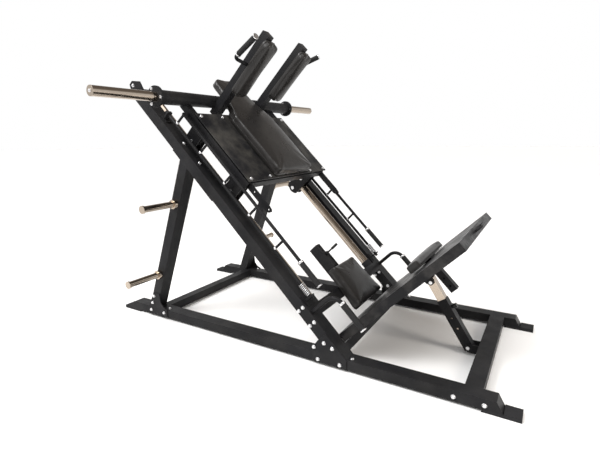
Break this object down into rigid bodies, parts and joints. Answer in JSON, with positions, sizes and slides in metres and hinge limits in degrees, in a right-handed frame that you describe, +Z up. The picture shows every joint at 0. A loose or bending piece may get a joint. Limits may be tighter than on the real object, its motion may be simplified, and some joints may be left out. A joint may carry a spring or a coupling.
{
  "type": "leg press machine",
  "caption": "Angled leg press and hack squat machine: a wheeled back-pad sled with weight sleeves on two inclined rods, tilting foot plate, sliding seat and swing-out safety ladders.",
  "frame": {"origin": "on the floor at the centre of the footprint", "axes": "+X along the machine from the raised end to the foot plate end, +Y to the left side, +Z up"},
  "size_m": [2.37, 1.9772, 1.6667],
  "materials": {
    "powder_coat": "satin, lightly textured black",
    "chrome": "polished",
    "zinc": "bright zinc",
    "black_rubber": "matt",
    "vinyl": "glossy black vinyl",
    "roller_plastic": "satin",
    "knob_plastic": "gloss"
  },
  "bodies": {
    "frame": {"base_rail_left": "powder_coat", "base_rail_right": "powder_coat", "frame_bolts": "zinc", "front_cross_tube": "powder_coat", "guide_rod_left": "chrome", "guide_rod_right": "chrome", "gusset_plates": "powder_coat", "incline_rail_left": "powder_coat", "incline_rail_right": "powder_coat", "ladder_brackets": "powder_coat", "ladder_springs": "chrome", "lower_cross_tube": "powder_coat", "pivot_pins": "zinc", "rear_cross_tube": "powder_coat", "rod_bumpers": "black_rubber", "rod_heads": "powder_coat", "rubber_feet": "black_rubber", "seat_crossmember": "powder_coat", "seat_tube": "powder_coat", "side_handle_grips": "black_rubber", "side_handles": "powder_coat", "storage_pegs": "chrome", "upright_left": "powder_coat", "upright_right": "powder_coat"},
    "sled": {"sled_frame": "powder_coat", "sled_plate": "powder_coat", "sled_axle_tube": "powder_coat", "sleeve_flanges": "powder_coat", "weight_sleeves": "chrome", "shoulder_posts": "powder_coat", "shoulder_grips": "black_rubber", "shoulder_pads": "vinyl", "back_pad": "vinyl", "truck_plates": "powder_coat", "roller_axles": "zinc", "catch_plates": "powder_coat", "sled_bolts": "zinc"},
    "ladder_r": {"ladder_right": "powder_coat", "ladder_grip_right": "black_rubber"},
    "ladder_l": {"ladder_left": "powder_coat", "ladder_grip_left": "black_rubber"},
    "press_plate": {"foot_plate": "powder_coat", "clevis_pin": "zinc", "plate_handle": "powder_coat"},
    "bolster": {"bolster_tube": "powder_coat", "bolster_pad": "vinyl"},
    "strut_outer": {"support_outer": "powder_coat", "support_pin": "knob_plastic"},
    "strut_inner": {"support_inner": "chrome"},
    "seat": {"seat_carriage": "powder_coat", "seat_pad": "vinyl", "seat_lever": "knob_plastic"},
    "body_roller_lower_bottom_left": {"roller_lower_bottom_left": "roller_plastic"},
    "body_roller_lower_bottom_right": {"roller_lower_bottom_right": "roller_plastic"},
    "body_roller_lower_top_left": {"roller_lower_top_left": "roller_plastic"},
    "body_roller_lower_top_right": {"roller_lower_top_right": "roller_plastic"},
    "body_roller_upper_bottom_left": {"roller_upper_bottom_left": "roller_plastic"},
    "body_roller_upper_bottom_right": {"roller_upper_bottom_right": "roller_plastic"},
    "body_roller_upper_top_left": {"roller_upper_top_left": "roller_plastic"},
    "body_roller_upper_top_right": {"roller_upper_top_right": "roller_plastic"}
  },
  "joints": [
    {"name": "sled_slide", "type": "slide", "parent": "frame", "child": "sled", "axis": [0.7071, 0, -0.7071], "range_m": [-0.1, 0.62]},
    {"name": "ladder_right_swing", "type": "hinge", "parent": "frame", "child": "ladder_r", "pos_m": [-0.22274, -0.45, 0.76721], "axis": [0.7071, 0, -0.7071], "range_deg": [0, 35], "stiffness_Nm_per_rad": 4},
    {"name": "ladder_left_swing", "type": "hinge", "parent": "frame", "child": "ladder_l", "pos_m": [-0.22274, 0.45, 0.76721], "axis": [-0.7071, 0, 0.7071], "range_deg": [0, 35], "stiffness_Nm_per_rad": 4},
    {"name": "press_plate_tilt", "type": "hinge", "parent": "frame", "child": "press_plate", "pos_m": [0.36416, 0, 0.10677], "axis": [0, 1, 0], "range_deg": [-6, 6]},
    {"name": "bolster_slide", "type": "slide", "parent": "press_plate", "child": "bolster", "axis": [0.7071, 0, -0.7071], "range_m": [-0.1, 0]},
    {"name": "strut_swing", "type": "hinge", "parent": "frame", "child": "strut_outer", "pos_m": [0.905, 0, 0.04], "axis": [0, 1, 0], "range_deg": [-1, 1]},
    {"name": "strut_extend", "type": "slide", "parent": "strut_outer", "child": "strut_inner", "axis": [-0.5415, 0, 0.8407], "range_m": [-0.05, 0.05]},
    {"name": "seat_slide", "type": "slide", "parent": "frame", "child": "seat", "axis": [0.7071, 0, -0.7071], "range_m": [-0.06, 0.02]},
    {"name": "spin_roller_lower_bottom_left", "type": "hinge", "parent": "sled", "child": "body_roller_lower_bottom_left", "pos_m": [-0.37194, 0.378, 0.75943], "axis": [0, 1, 0], "range_deg": [-1700, 1700]},
    {"name": "spin_roller_lower_bottom_right", "type": "hinge", "parent": "sled", "child": "body_roller_lower_bottom_right", "pos_m": [-0.37194, -0.378, 0.75943], "axis": [0, 1, 0], "range_deg": [-1700, 1700]},
    {"name": "spin_roller_lower_top_left", "type": "hinge", "parent": "sled", "child": "body_roller_lower_top_left", "pos_m": [-0.30406, 0.378, 0.82732], "axis": [0, 1, 0], "range_deg": [-1700, 1700]},
    {"name": "spin_roller_lower_top_right", "type": "hinge", "parent": "sled", "child": "body_roller_lower_top_right", "pos_m": [-0.30406, -0.378, 0.82732], "axis": [0, 1, 0], "range_deg": [-1700, 1700]},
    {"name": "spin_roller_upper_bottom_left", "type": "hinge", "parent": "sled", "child": "body_roller_upper_bottom_left", "pos_m": [-0.64064, 0.378, 1.02813], "axis": [0, 1, 0], "range_deg": [-1700, 1700]},
    {"name": "spin_roller_upper_bottom_right", "type": "hinge", "parent": "sled", "child": "body_roller_upper_bottom_right", "pos_m": [-0.64064, -0.378, 1.02813], "axis": [0, 1, 0], "range_deg": [-1700, 1700]},
    {"name": "spin_roller_upper_top_left", "type": "hinge", "parent": "sled", "child": "body_roller_upper_top_left", "pos_m": [-0.57276, 0.378, 1.09602], "axis": [0, 1, 0], "range_deg": [-1700, 1700]},
    {"name": "spin_roller_upper_top_right", "type": "hinge", "parent": "sled", "child": "body_roller_upper_top_right", "pos_m": [-0.57276, -0.378, 1.09602], "axis": [0, 1, 0], "range_deg": [-1700, 1700]}
  ],
  "couplings": [
    {"joint": "strut_swing", "follows": "press_plate_tilt", "ratio": 0.074669},
    {"joint": "strut_extend", "follows": "press_plate_tilt", "m_per_rad": -0.41851},
    {"joint": "spin_roller_lower_bottom_left", "follows": "sled_slide", "rad_per_m": -44.248},
    {"joint": "spin_roller_lower_bottom_right", "follows": "sled_slide", "rad_per_m": -44.248},
    {"joint": "spin_roller_lower_top_left", "follows": "sled_slide", "rad_per_m": 44.248},
    {"joint": "spin_roller_lower_top_right", "follows": "sled_slide", "rad_per_m": 44.248},
    {"joint": "spin_roller_upper_bottom_left", "follows": "sled_slide", "rad_per_m": -44.248},
    {"joint": "spin_roller_upper_bottom_right", "follows": "sled_slide", "rad_per_m": -44.248},
    {"joint": "spin_roller_upper_top_left", "follows": "sled_slide", "rad_per_m": 44.248},
    {"joint": "spin_roller_upper_top_right", "follows": "sled_slide", "rad_per_m": 44.248}
  ]
}
